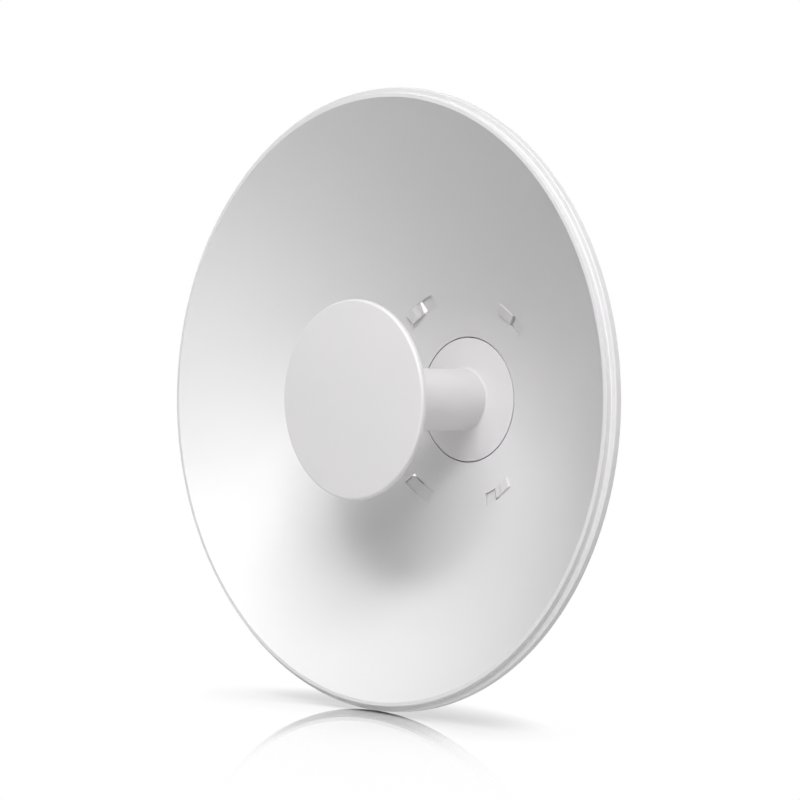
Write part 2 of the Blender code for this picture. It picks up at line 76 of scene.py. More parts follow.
# A narrow channel in the plate beside each of the other hooks, which shows as a thin dark line: radii and angles
CHANNELS = {38.0: (70.8 * MM, 77.6 * MM, 8.8, 9.3), 229.0: (68.4 * MM, 70.9 * MM, -0.3, 9.2),
            290.0: (70.4 * MM, 78.2 * MM, 6.8, 8.3)}
CHANNEL_Y = SHEET + GAP + 1.9 * MM
KEY_Z = (-55.2 * MM, -50.2 * MM)

# Rear housing and clamp
PLATE_T = 2.5 * MM
DRUM_R = 47.0 * MM
WALL = 3.0 * MM
HOUSING_BACK = -12.5 * MM
SADDLE_X = 50.0 * MM
STEEL = 2.5 * MM
ARM_X = SADDLE_X + GAP
PIVOT_Y = -30.0 * MM
PORT_Y = (-42.3 * MM, -16.7 * MM)
LOCK_R = 26.0 * MM
FLANGE_X = 41.0 * MM
NOTCH_HALF = 24.0 * MM
JAW_Y = 55.0 * MM
BOLT_X = 31.0 * MM
BEND = 1.0 * MM + STEEL / 2              # radius of the folds in the sheet's middle
HOLE_R = 4.3 * MM
SHANK_R = 3.95 * MM
HEX = 13.0 * MM                          # across the flats
WASHER = 1.6 * MM


# Colour and node helpers

def hex_colour(code):
    """An sRGB hex value as linear RGBA."""
    values = [int(code[i:i + 2], 16) / 255 for i in (1, 3, 5)]
    return tuple(v / 12.92 if v <= 0.04045 else ((v + 0.055) / 1.055) ** 2.4 for v in values) + (1.0,)


def put(tree, kind, links=None, **settings):
    """Adds a node, with its settings and what its inputs hold or come from."""
    made = tree.nodes.new(kind)
    for name, value in settings.items():
        setattr(made, name, value)
    for key, value in (links or {}).items():
        socket = made.inputs[key]
        if isinstance(value, bpy.types.NodeSocket):
            tree.links.new(value, socket)
        else:
            socket.default_value = value
    return made


def new_material(name, roughness, metallic=0.0, ior=None):
    """A material, its tree and shader, and the object coordinates that its patterns read."""
    mat = bpy.data.materials.new(name)
    mat.use_nodes = True
    tree = mat.node_tree
    shader = tree.nodes["Principled BSDF"]
    shader.inputs["Roughness"].default_value = roughness
    shader.inputs["Metallic"].default_value = metallic
    if ior is not None:
        shader.inputs["IOR"].default_value = ior
    where = put(tree, "ShaderNodeTexCoord").outputs["Object"]
    return mat, tree, shader, where


# Materials

def powder_coat():
    """Polyester powder coat on pressed sheet: white, satin, with a faint orange-peel that softens its gloss."""
    mat, tree, shader, where = new_material("powder_coated_sheet", 0.42, ior=1.5)
    peel = put(tree, "ShaderNodeTexNoise", {"Vector": where, "Scale": 1 / 0.0016, "Detail": 2.0, "Roughness": 0.5})
    cloud = put(tree, "ShaderNodeTexNoise", {"Vector": where, "Scale": 1 / 0.12, "Detail": 3.0, "Roughness": 0.6})
    tone = put(tree, "ShaderNodeMix", {0: cloud.outputs["Fac"], 6: hex_colour("#D8D7D8"), 7: hex_colour("#DBDADB")},
               data_type="RGBA")
    tree.links.new(tone.outputs[2], shader.inputs["Base Color"])
    rough = put(tree, "ShaderNodeMapRange", {"Value": peel.outputs["Fac"], "To Min": 0.38, "To Max": 0.47})
    tree.links.new(rough.outputs["Result"], shader.inputs["Roughness"])
    bump = put(tree, "ShaderNodeBump", {"Height": peel.outputs["Fac"], "Strength": 0.05, "Distance": 0.00006})
    tree.links.new(bump.outputs["Normal"], shader.inputs["Normal"])
    return mat


def moulded(name, light, dark, roughness, grain_mm, bump_mm, strength):
    """Injection-moulded plastic with a fine spark-eroded texture."""
    mat, tree, shader, where = new_material(name, roughness, ior=1.5)
    grain = put(tree, "ShaderNodeTexNoise", {"Vector": where, "Scale": 1000 / grain_mm, "Detail": 3.0,
                                             "Roughness": 0.6})
    cloud = put(tree, "ShaderNodeTexNoise", {"Vector": where, "Scale": 1 / 0.06, "Detail": 2.0})
    tone = put(tree, "ShaderNodeMix", {0: cloud.outputs["Fac"], 6: hex_colour(dark), 7: hex_colour(light)},
               data_type="RGBA")
    tree.links.new(tone.outputs[2], shader.inputs["Base Color"])
    rough = put(tree, "ShaderNodeMapRange", {"Value": grain.outputs["Fac"], "To Min": roughness - 0.05,
                                             "To Max": roughness + 0.06})
    tree.links.new(rough.outputs["Result"], shader.inputs["Roughness"])
    bump = put(tree, "ShaderNodeBump", {"Height": grain.outputs["Fac"], "Strength": strength,
                                        "Distance": bump_mm * MM})
    tree.links.new(bump.outputs["Normal"], shader.inputs["Normal"])
    return mat


def galvanised():
    """Hot-dip galvanised steel: grey zinc with the crystals of its spangle in slightly different greys."""
    mat, tree, shader, where = new_material("galvanised_sheet", 0.45, metallic=0.9)
    spangle = put(tree, "ShaderNodeTexVoronoi", {"Vector": where, "Scale": 1 / 0.007, "Randomness": 1.0})
    grey = put(tree, "ShaderNodeValToRGB", {"Fac": spangle.outputs["Color"]})
    grey.color_ramp.elements[0].color = hex_colour("#A9ACAE")
    grey.color_ramp.elements[1].color = hex_colour("#C6C8C9")
    tree.links.new(grey.outputs["Color"], shader.inputs["Base Color"])
    dull = put(tree, "ShaderNodeTexNoise", {"Vector": where, "Scale": 1 / 0.011, "Detail": 5.0, "Roughness": 0.65})
    rough = put(tree, "ShaderNodeMapRange", {"Value": dull.outputs["Fac"], "To Min": 0.34, "To Max": 0.58})
    tree.links.new(rough.outputs["Result"], shader.inputs["Roughness"])
    bump = put(tree, "ShaderNodeBump", {"Height": dull.outputs["Fac"], "Strength": 0.12, "Distance": 0.0002})
    tree.links.new(bump.outputs["Normal"], shader.inputs["Normal"])
    return mat


def stainless():
    """Stainless fasteners, cold-formed: bright, with faint draw marks and duller patches."""
    mat, tree, shader, where = new_material("stainless_fastener", 0.28, metallic=1.0)
    draw = put(tree, "ShaderNodeTexNoise", {"Vector": where, "Scale": 1 / 0.0012, "Detail": 3.0})
    tone = put(tree, "ShaderNodeMix", {0: draw.outputs["Fac"], 6: hex_colour("#B4B4B2"), 7: hex_colour("#D2D2D0")},
               data_type="RGBA")
    tree.links.new(tone.outputs[2], shader.inputs["Base Color"])
    rough = put(tree, "ShaderNodeMapRange", {"Value": draw.outputs["Fac"], "To Min": 0.2, "To Max": 0.36})
    tree.links.new(rough.outputs["Result"], shader.inputs["Roughness"])
    return mat


def rubber():
    """EPDM rubber: near black, matte, with a fine pebbled skin."""
    mat, tree, shader, where = new_material("epdm_rubber", 0.78, ior=1.52)
    shader.inputs["Base Color"].default_value = hex_colour("#2A2A2B")
    pebble = put(tree, "ShaderNodeTexNoise", {"Vector": where, "Scale": 1 / 0.0007, "Detail": 2.0})
    bump = put(tree, "ShaderNodeBump", {"Height": pebble.outputs["Fac"], "Strength": 0.3, "Distance": 0.0001})
    tree.links.new(bump.outputs["Normal"], shader.inputs["Normal"])
    return mat


COAT = powder_coat()
FEED = moulded("moulded_feed_cover", "#DCDADB", "#D9D8D9", 0.36, 0.5, 0.02, 0.06)
HOUSING = moulded("moulded_rear_housing", "#D8D7D8", "#D5D4D5", 0.48, 0.6, 0.04, 0.1)
ZINC = galvanised()
STAINLESS = stainless()
RUBBER = rubber()


# Mesh helpers

def bowl(r):
    """Depth of the front surface behind the rim plane."""
    return DEPTH * (1.0 - (r / RIM_R) ** 2)


def behind(r, offset):
    """A (radius, depth) point at this offset behind the front surface, along its normal."""
    slope = -2.0 * DEPTH * r / RIM_R ** 2
    length = math.hypot(slope, 1.0)
    return r - slope / length * offset, bowl(r) + offset / length


def softened(points, radii, count=5, closed=False):
    """A line of points with its corners rounded."""
    out = []
    for i, p in enumerate(points):
        r = radii[i]
        p = Vector(p)
        if r <= 0 or (not closed and i in (0, len(points) - 1)):
            out.append(tuple(p))
            continue
        a = Vector(points[i - 1]) - p
        b = Vector(points[(i + 1) % len(points)]) - p
        half = a.angle(b) / 2
        r = min(r, min(a.length, b.length) * 0.48 * math.tan(half))
        a.normalize()
        b.normalize()
        reach = r / math.tan(half)
        centre = p + (a + b).normalized() * (r / math.sin(half))
        s, e = p + a * reach - centre, p + b * reach - centre
        turn = math.atan2(s.x * e.y - s.y * e.x, s.dot(e))
        for k in range(count + 1):
            t = turn * k / count
            out.append((centre.x + s.x * math.cos(t) - s.y * math.sin(t),
                        centre.y + s.x * math.sin(t) + s.y * math.cos(t)))
    return out


def shade(mesh, sharp=35):
    """Smooth shading that stops at edges sharper than this many degrees."""
    mesh.shade_smooth()
    mesh.set_sharp_from_angle(angle=math.radians(sharp))


def in_scene(name, data):
    """A new object that holds this data and stands in the scene."""
    obj = bpy.data.objects.new(name, data)
    bpy.context.scene.collection.objects.link(obj)
    return obj


def finish_mesh(name, bm, mat, sharp=35):
    """Turns mesh code's work into an object, welded, facing outwards and shaded."""
    bmesh.ops.remove_doubles(bm, verts=bm.verts, dist=1e-6)
    bmesh.ops.recalc_face_normals(bm, faces=bm.faces)
    mesh = bpy.data.meshes.new(name)
    bm.to_mesh(mesh)
    bm.free()
    mesh.materials.append(mat)
    shade(mesh, sharp)
    return in_scene(name, mesh)


def skin(bm, rings):
    """Faces between rings of vertices, and a cap at either end."""
    for ring, following in zip(rings, rings[1:]):
        for k, vert in enumerate(ring):
            bm.faces.new((vert, ring[k - 1], following[k - 1], following[k]))
    bm.faces.new(rings[0])
    bm.faces.new(rings[-1])


def turned(name, profile, mat, steps, base=RIM_Y, axis_x=0.0):
    """A profile of (radius, depth) points turned about an axis along Y."""
    bm = bmesh.new()
    verts = [bm.verts.new((r, base + d, 0.0)) for r, d in profile]
    edges = [bm.edges.new(pair) for pair in zip(verts, verts[1:])]
    if profile[0][0] > 0.0:
        edges.append(bm.edges.new((verts[-1], verts[0])))
    bmesh.ops.spin(bm, geom=verts + edges, cent=(0, 0, 0), axis=(0, 1, 0), angle=math.tau, steps=steps,
                   use_merge=True)
    bmesh.ops.translate(bm, vec=(axis_x, 0, 0), verts=bm.verts)
    return finish_mesh(name, bm, mat)


def solid_box(name, low, high, mat, bevel=0.0, segments=3):
    """A box between two corners, its edges rounded where a bevel is given."""
    bm = bmesh.new()
    bmesh.ops.create_cube(bm, size=1.0)
    size = [b - a for a, b in zip(low, high)]
    middle = [(a + b) / 2 for a, b in zip(low, high)]
    bmesh.ops.transform(bm, matrix=Matrix.Translation(middle) @ Matrix.Diagonal((*size, 1.0)), verts=bm.verts)
    if bevel:
        bmesh.ops.bevel(bm, geom=list(bm.edges), offset=bevel, segments=segments, profile=0.5, affect="EDGES",
                        clamp_overlap=True)
    return finish_mesh(name, bm, mat)


def rod(name, start, end, radius, mat, sides=48):
    """A plain cylinder from one point to another."""
    start, end = Vector(start), Vector(end)
    bm = bmesh.new()
    bmesh.ops.create_cone(bm, cap_ends=True, segments=sides, radius1=radius, radius2=radius,
                          depth=(end - start).length)
    turn = Vector((0, 0, 1)).rotation_difference(end - start).to_matrix().to_4x4()
    bmesh.ops.transform(bm, matrix=Matrix.Translation((start + end) / 2) @ turn, verts=bm.verts)
    return finish_mesh(name, bm, mat)


def evaluated(obj):
    """Bakes an object's modifiers into a plain mesh at the origin."""
    bpy.context.view_layer.update()
    deps = bpy.context.evaluated_depsgraph_get()
    mesh = bpy.data.meshes.new_from_object(obj.evaluated_get(deps))
    world = obj.matrix_world.copy()
    name = obj.name
    bpy.data.objects.remove(obj, do_unlink=True)
    mesh.transform(world)
    mesh.name = name
    return in_scene(name, mesh)


def weld_slivers(mesh):
    """Welds the slivers that a cut or a bevel leaves behind."""
    bm = bmesh.new()
    bm.from_mesh(mesh)
    bmesh.ops.remove_doubles(bm, verts=bm.verts, dist=2e-6)
    bmesh.ops.dissolve_degenerate(bm, dist=2e-6, edges=bm.edges)
    bm.to_mesh(mesh)
    bm.free()


def combine(obj, other, how, sharp=35):
    """Adds another closed mesh to this one, cuts it out or keeps what they share."""
    mod = obj.modifiers.new("Boolean", "BOOLEAN")
    mod.operation = how
    mod.solver = "EXACT"
    mod.object = other
    fresh = evaluated(obj)
    bpy.data.objects.remove(other, do_unlink=True)
    weld_slivers(fresh.data)
    shade(fresh.data, sharp)
    return fresh


def rounded_edges(obj, width):
    """Rounds every edge over 30 degrees."""
    mod = obj.modifiers.new("Edges", "BEVEL")
    mod.width = width
    mod.segments = 2
    mod.limit_method = "ANGLE"
    mod.angle_limit = math.radians(30)
    obj = evaluated(obj)
    weld_slivers(obj.data)
    shade(obj.data)
    return obj


def flat_faces_flat(obj):
    """Keeps a roundover's shading off the flat faces beside it."""
    mod = obj.modifiers.new("Normals", "WEIGHTED_NORMAL")
    mod.mode = "FACE_AREA"
    mod.keep_sharp = True
    return evaluated(obj)


def placed(obj, node):
    """Lets a finished piece stand for its CAD node."""
    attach(obj, "root")
    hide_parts(node)


def on_turn(r, depth, angle):
    """A point at a radius, a depth behind the rim plane and an angle in degrees."""
    a = math.radians(angle)
    return Vector((r * math.cos(a), RIM_Y + depth, r * math.sin(a)))


def sector(name, section, start, end, steps, mat):
    """A closed section of (radius, depth) points swept round the dish's axis."""
    bm = bmesh.new()
    face = bm.faces.new([bm.verts.new(on_turn(r, d, start)) for r, d in section])
    parts = list(face.verts) + list(face.edges) + [face]
    bmesh.ops.spin(bm, geom=parts, cent=(0, 0, 0), axis=(0, -1, 0), angle=math.radians(end - start),
                   steps=steps)
    return finish_mesh(name, bm, mat)


# Reflector

# Corners of the rim outside its lip: radius, depth and rounding in mm
RIM_CORNERS = ((205.6, 0.0, 0.4), (205.8, 4.2, 0.6), (209.5, 4.2, 0.9), (210.0, 8.4, 0.0))


def reflector_tree():
    """Nodes for the paraboloid and its stepped rim: a profile by formula, filleted, swept round the axis."""
    tree = bpy.data.node_groups.new("pressed_paraboloid", "GeometryNodeTree")
    face = tree.interface
    face.new_socket("Geometry", in_out="INPUT", socket_type="NodeSocketGeometry")
    for label, kind, value in (("Hub radius", "NodeSocketFloat", HUB_R), ("Rim radius", "NodeSocketFloat", RIM_R),
                               ("Depth", "NodeSocketFloat", DEPTH), ("Rim plane", "NodeSocketFloat", RIM_Y),
                               ("Lip rounding", "NodeSocketFloat", 0.25 * MM), ("Rings", "NodeSocketInt", 48),
                               ("Sides", "NodeSocketInt", 320), ("Material", "NodeSocketMaterial", COAT)):
        face.new_socket(label, in_out="INPUT", socket_type=kind).default_value = value
    face.new_socket("Geometry", in_out="OUTPUT", socket_type="NodeSocketGeometry")
    given = put(tree, "NodeGroupInput").outputs

    def calc(how, a, b=None):
        """One step of arithmetic, on values or sockets."""
        return put(tree, "ShaderNodeMath", {0: a} if b is None else {0: a, 1: b}, operation=how).outputs[0]

    count = calc("ADD", given["Rings"], float(len(RIM_CORNERS)))
    line = put(tree, "GeometryNodeMeshLine", {"Count": count})
    index = put(tree, "GeometryNodeInputIndex").outputs[0]
    last = calc("SUBTRACT", given["Rings"], 1.0)
    share = calc("DIVIDE", index, last)
    radius = put(tree, "ShaderNodeMix", {0: share, 2: given["Hub radius"], 3: given["Rim radius"]},
                 data_type="FLOAT", clamp_factor=True).outputs[0]
    ratio = calc("DIVIDE", radius, given["Rim radius"])
    fall = calc("SUBTRACT", 1.0, calc("MULTIPLY", ratio, ratio))
    on_bowl = put(tree, "ShaderNodeCombineXYZ", {0: radius, 1: calc("MULTIPLY", given["Depth"], fall)}).outputs[0]
    corner = put(tree, "GeometryNodeIndexSwitch", data_type="VECTOR")
    while len(corner.index_switch_items) < len(RIM_CORNERS):
        corner.index_switch_items.new()
    tree.links.new(calc("SUBTRACT", index, given["Rings"]), corner.inputs[0])
    for i, sizes in enumerate(RIM_CORNERS):
        corner.inputs[i + 1].default_value = [size * MM for size in sizes]
    size = put(tree, "ShaderNodeSeparateXYZ", {0: corner.outputs[0]}).outputs
    on_rim = put(tree, "ShaderNodeCombineXYZ", {0: size[0], 1: size[1]}).outputs[0]
    past = put(tree, "FunctionNodeCompare", {0: index, 1: last}, data_type="FLOAT", operation="GREATER_THAN")
    spot = put(tree, "GeometryNodeSwitch", {0: past.outputs[0], 1: on_bowl, 2: on_rim},
               input_type="VECTOR").outputs[0]
    drawn = put(tree, "GeometryNodeSetPosition", {"Geometry": line.outputs[0], "Position": spot})
    curve = put(tree, "GeometryNodeMeshToCurve", {0: drawn.outputs[0]})
    near_rim = put(tree, "FunctionNodeCompare", {0: index, 1: calc("SUBTRACT", last, 0.5)}, data_type="FLOAT",
                   operation="GREATER_THAN")
    at_lip = calc("MULTIPLY", given["Lip rounding"], near_rim.outputs[0])
    rounding = put(tree, "GeometryNodeSwitch", {0: past.outputs[0], 1: at_lip, 2: size[2]},
                   input_type="FLOAT").outputs[0]
    fillet = put(tree, "GeometryNodeFilletCurve",
                 {"Curve": curve.outputs[0], "Count": 5, "Radius": rounding, "Limit Radius": True}, mode="POLY")
    points = put(tree, "GeometryNodeAttributeDomainSize", {0: fillet.outputs[0]}, component="CURVE").outputs[0]
    grid = put(tree, "GeometryNodeMeshGrid", {"Size X": 1.0, "Size Y": 1.0, "Vertices X": points,
                                              "Vertices Y": calc("ADD", given["Sides"], 1.0)})
    uv = put(tree, "ShaderNodeSeparateXYZ", {0: grid.outputs["UV Map"]}).outputs
    which = calc("ROUND", calc("MULTIPLY", uv[0], calc("SUBTRACT", points, 1.0)))
    place = put(tree, "GeometryNodeInputPosition").outputs[0]
    sample = put(tree, "GeometryNodeSampleIndex", {0: fillet.outputs[0], 1: place, 2: which},
                 data_type="FLOAT_VECTOR", domain="POINT").outputs[0]
    line_at = put(tree, "ShaderNodeSeparateXYZ", {0: sample}).outputs
    angle = calc("MULTIPLY", uv[1], math.tau)
    ring = put(tree, "ShaderNodeCombineXYZ", {0: calc("MULTIPLY", line_at[0], calc("COSINE", angle)),
                                              1: calc("ADD", line_at[1], given["Rim plane"]),
                                              2: calc("MULTIPLY", line_at[0], calc("SINE", angle))}).outputs[0]
    swept = put(tree, "GeometryNodeSetPosition", {"Geometry": grid.outputs[0], "Position": ring})
    closed = put(tree, "GeometryNodeMergeByDistance", {"Geometry": swept.outputs[0], "Distance": 1e-6})
    real = put(tree, "GeometryNodeRealizeInstances", {0: closed.outputs[0]})
    coated = put(tree, "GeometryNodeSetMaterial", {"Geometry": real.outputs[0], "Material": given["Material"]})
    put(tree, "NodeGroupOutput", {0: coated.outputs[0]})
    return tree


def make_reflector():
    """The pressed sheet: its front face from the nodes, given its thickness behind, with four slots."""
    obj = in_scene("reflector_sheet", bpy.data.meshes.new("reflector_sheet"))
    nodes = obj.modifiers.new("Paraboloid", "NODES")
    nodes.node_group = reflector_tree()
    obj = evaluated(obj)
    bm = bmesh.new()
    bm.from_mesh(obj.data)
    bmesh.ops.recalc_face_normals(bm, faces=bm.faces)
    if sum(f.normal.y for f in bm.faces) > 0:
        bmesh.ops.reverse_faces(bm, faces=bm.faces)
    bm.to_mesh(obj.data)
    bm.free()
    solid = obj.modifiers.new("Sheet", "SOLIDIFY")
    solid.thickness = SHEET
    solid.offset = -1.0
    solid.use_even_offset = True
    edge = obj.modifiers.new("Edge", "BEVEL")
    edge.width = 0.35 * MM
    edge.segments = 3
    edge.limit_method = "ANGLE"
    edge.angle_limit = math.radians(60)
    obj = evaluated(obj)
    low, high = SLOT_R
    block = [(low, 75 * MM), (high, 75 * MM), (high, 105 * MM), (low, 105 * MM)]
    for start in SLOT_STARTS:
        obj = combine(obj, sector("slot", block, start, start + SLOT_SPAN, 12, COAT), "DIFFERENCE", 30)
    placed(flat_faces_flat(obj), "reflector")


# Feed

def make_feed():
    """The bare front disc with its conical back, the tube, and the base that closes the dish's hole."""
    f, r, t = DISC_FRONT, DISC_R, DISC_FILLET
    profile = softened([(0.0, f), (r, f), (r, f + t + 0.1 * MM), (r - 1.5 * MM, f + t + 1.5 * MM),
                        (r - 3.2 * MM, f + t + 1.5 * MM), (r - 3.2 * MM, f + t), (r - t - 0.8 * MM, f + 2 * MM),
                        (0.0, f + 2 * MM)], [0, t, 0.8 * MM, 0.4 * MM, 0, 0.4 * MM, 0.6 * MM, 0], 10)
    placed(turned("feed_disc_cover", profile, FEED, 224), "feed_disc")
    back_y = f + t + 1.5 * MM + GAP
    profile = softened([(TUBE_R + GAP, 5 * MM), (TUBE_R + GAP, -6 * MM), (58 * MM, back_y), (65.2 * MM, back_y),
                        (64.2 * MM, back_y + 1.2 * MM), (58 * MM, back_y + 2 * MM), (27 * MM, -2.5 * MM),
                        (TUBE_R + 2.3 * MM, 5 * MM)],
                       [0.3 * MM, 0, 2 * MM, 0.2 * MM, 0.6 * MM, 4 * MM, 4 * MM, 0.8 * MM], 6, closed=True)
    placed(turned("feed_disc_cone", profile, FEED, 192), "feed_disc_back")
    profile = softened([(TUBE_R - 2.5 * MM, -14.7 * MM), (TUBE_R, -14.7 * MM), (TUBE_R, 103 * MM),
                        (TUBE_R - 2.5 * MM, 103 * MM)], [0.4 * MM] * 4, 3, closed=True)
    placed(turned("feed_tube_moulding", profile, FEED, 128), "feed_tube")
    face = bowl(HUB_R)
    profile = softened([(TUBE_R + 0.02 * MM, 92.3 * MM), (TUBE_R + 1.5 * MM, 93.0 * MM), (30 * MM, 94.2 * MM),
                        (HUB_R - SEAM, face - 0.1 * MM), (HUB_R - SEAM, face + 3.2 * MM), (40 * MM, face + 3.2 * MM),
                        (40 * MM, 111 * MM), (37 * MM, 111 * MM), (37 * MM, 104 * MM), (TUBE_R + GAP, 104 * MM),
                        (TUBE_R + GAP, 94.0 * MM)],
                       [0, 0.7 * MM, 20 * MM, 0.35 * MM, 0.3 * MM, 0.3 * MM, 0.5 * MM, 0.5 * MM, 0.5 * MM, 0, 0], 6,
                       closed=True)
    placed(turned("feed_base_moulding", profile, FEED, 192), "feed_base")


# Rear housing

def smooth(x):
    """A smooth step from 0 to 1."""
    x = min(1.0, max(0.0, x))
    return x * x * (3 - 2 * x)


def hook(start):
    """A stem through the slot, and a curved foot on the dish that rises to a pad at its end."""
    inner, outer = FOOT_R
    middle, half = (inner + outer) / 2, (outer - inner) / 2
    near, last = STEM_SPAN[0], FOOT_END
    askew = ASKEW if start == OPEN_SLOT else 0.0
    if askew:
        near = ASKEW_NEAR
    turns = [near, near + 0.12, (near + STEM_SPAN[1]) / 2, STEM_SPAN[1] - 0.01, STEM_SPAN[1] + 0.01]
    turns += [STEM_SPAN[1] + 0.3 + (last - STEM_SPAN[1] - 0.3) * (k / 40) ** 0.8 for k in range(41)]
    round_in = [(EDGE_R * (1 - math.sin(math.pi * k / 10)), EDGE_R * (1 - math.cos(math.pi * k / 10)))
                for k in range(6)]
    bm = bmesh.new()
    rings = []
    for turn in turns:
        low = 0.1 * MM if askew or turn > STEM_SPAN[1] else -(SHEET + GAP + 1.2 * MM)
        top = PAD_HEIGHTS[start] * (0.6 + 0.4 * smooth((turn - 11.4) / 3.5))
        left = (last - turn) / 0.6
        if left < 1.0:
            top -= EDGE_R * (1.0 - math.sqrt(1.0 - (1.0 - left) ** 2))
        if turn == near:
            top -= 0.15 * MM
        across = [(inner + 2 * half * k / 8, low) for k in range(9)]
        across += [(outer - x, top - y) for x, y in round_in[::-1]]
        across += [(outer - EDGE_R + (inner - outer + 2 * EDGE_R) * k / 6, top) for k in range(1, 6)]
        across += [(inner + x, top - y) for x, y in round_in]
        skew = askew * (1.0 - smooth((turn - near) / 3.0))
        ring = []
        for r, height in across:
            at = behind(r, -height)
            ring.append(bm.verts.new(on_turn(*at, start + turn + skew * (middle - r) / half)))
        rings.append(ring)
    skin(bm, rings)
    return finish_mesh("hook", bm, HOUSING)


def make_housing():
    """Plate and drum in one moulding, with a saddle for the bracket, a lid's port and the four hooks."""
    back = HOUSING_BACK - RIM_Y
    front = SHEET + GAP
    seat = [behind(r, front) for r in [x * MM for x in (46, 50, 54, 58, 62, 66, 70, 74, 78, 82)]]
    under = [behind(r, front + PLATE_T) for r in [x * MM for x in (81.4, 78, 74, 70, 66, 62, 58, 54)]]
    inner = DRUM_R - WALL
    ledge = bowl(HUB_R) + 3.5 * MM
    line = [(0.0, back - WALL), (inner, back - WALL), (inner, ledge + 3.5 * MM), (40.8 * MM, ledge + 2.5 * MM),
            (40.8 * MM, ledge), (HUB_R, ledge), (HUB_R, bowl(HUB_R) + front + 0.3 * MM)]
    radii = [0, 4 * MM, 1 * MM, 0, 0, 0, 0.2 * MM]
    line += seat + under
    radii += [0] * (len(seat) - 1) + [0.8 * MM] * 2 + [0] * (len(under) - 1)
    line += [(DRUM_R + 1.0 * MM, under[-1][1] + 1.6 * MM), (DRUM_R, back), (0.0, back)]
    radii += [6 * MM, 5 * MM, 0]
    obj = turned("rear_housing_moulding", softened(line, radii, 8), HOUSING, 192)
    saddle = solid_box("saddle", (-SADDLE_X, PIVOT_Y - 12.5 * MM, -15 * MM),
                       (SADDLE_X, PIVOT_Y + 12.5 * MM, LOCK_R + 10 * MM), HOUSING, bevel=3 * MM, segments=5)
    obj = combine(obj, saddle, "UNION")
    hollow = rod("hollow", (0, RIM_Y + ledge + 4.2 * MM, 0), (0, HOUSING_BACK - WALL, 0), inner - 1.0 * MM,
                 HOUSING, 96)
    obj = combine(obj, hollow, "DIFFERENCE")
    for start in SLOT_STARTS:
        opened = start == OPEN_SLOT
        low, high = OPEN_R if opened else CLOSED_R
        first, last = OPEN_SPAN if opened else CLOSED_SPAN
        wall = [behind(r, SHEET + GAP / 2) for r in (low, (low + high) / 2, high)]
        wall += [(high, 104 * MM), (low, 104 * MM)]
        obj = combine(obj, sector("window", wall, start + first, start + last, 12, HOUSING), "DIFFERENCE")
        if start in CHANNELS:
            low, high, first, last = CHANNELS[start]
            wall = [behind(low, SHEET), behind(high, SHEET), behind(high, CHANNEL_Y), behind(low, CHANNEL_Y)]
            obj = combine(obj, sector("channel", wall, start + first, start + last, 8, HOUSING), "DIFFERENCE")
        obj = combine(obj, hook(start), "UNION")
        if opened:
            low, high = RIB_R
            first, last = RIB_SPAN
            rib = [behind(low, -0.6 * MM), behind(high, -0.6 * MM), behind(high, 3 * MM), behind(low, 3 * MM)]
            obj = combine(obj, sector("rib", rib, start + first, start + last, 3, HOUSING), "UNION")
    key = solid_box("key", (-72 * MM, RIM_Y + 78 * MM, KEY_Z[0]), (-44 * MM, RIM_Y + 108 * MM, KEY_Z[1]),
                    HOUSING)
    obj = combine(obj, key, "DIFFERENCE")
    for side in (-1, 1):
        outside, inside = side * (SADDLE_X + 2 * MM), side * 37 * MM
        for z in (0.0, LOCK_R):
            hole = rod("hole", (outside, PIVOT_Y, z), (inside, PIVOT_Y, z), HOLE_R, HOUSING)
            obj = combine(obj, hole, "DIFFERENCE")
    port = solid_box("port", (-17 * MM, PORT_Y[0], -60 * MM), (17 * MM, PORT_Y[1], -35 * MM), HOUSING)
    obj = combine(obj, port, "DIFFERENCE")
    placed(obj, "rear_housing")


# Folded bracket and jaw

def arc_points(centre, radius, start, end, count):
    """Points on an arc, angles in degrees."""
    out = []
    for k in range(count + 1):
        a = math.radians(start + (end - start) * k / count)
        out.append((centre[0] + radius * math.cos(a), centre[1] + radius * math.sin(a)))
    return out


def prism(name, outline, plane, low, high, mat):
    """An outline pushed through a range of X (outline in Y and Z) or of Y (outline in X and Z)."""
    bm = bmesh.new()
    at = (lambda p, w: (w, p[0], p[1])) if plane == "X" else (lambda p, w: (p[0], w, p[1]))
    near = [bm.verts.new(at(p, low)) for p in outline]
    far = [bm.verts.new(at(p, high)) for p in outline]
    skin(bm, [near, far])
    return finish_mesh(name, bm, mat)


def flat(bm, points):
    """One flat face."""
    bm.faces.new([bm.verts.new(p) for p in points])


def fold(bm, start, end, centre, spin, count=6):
    """Quads that turn the edge from start to end by this many degrees about a fold line through centre."""
    edge = [Vector(start), Vector(end)]
    axis = (edge[1] - edge[0]).normalized()
    centre = Vector(centre)
    pair = edge
    for k in range(1, count + 1):
        turn = Matrix.Rotation(math.radians(spin * k / count), 3, axis)
        following = []
        for corner in edge:
            away = corner - centre
            along = axis * away.dot(axis)
            following.append(centre + along + turn @ (away - along))
        flat(bm, (pair[0], pair[1], following[1], following[0]))
        pair = following


def sheet(name, bm):
    """Gives a folded middle surface its thickness."""
    bmesh.ops.remove_doubles(bm, verts=bm.verts, dist=1e-5)
    bmesh.ops.recalc_face_normals(bm, faces=bm.faces)
    obj = finish_mesh(name, bm, ZINC)
    solid = obj.modifiers.new("Sheet", "SOLIDIFY")
    solid.thickness = STEEL
    solid.offset = 0.0
    solid.use_even_offset = True
    return evaluated(obj)


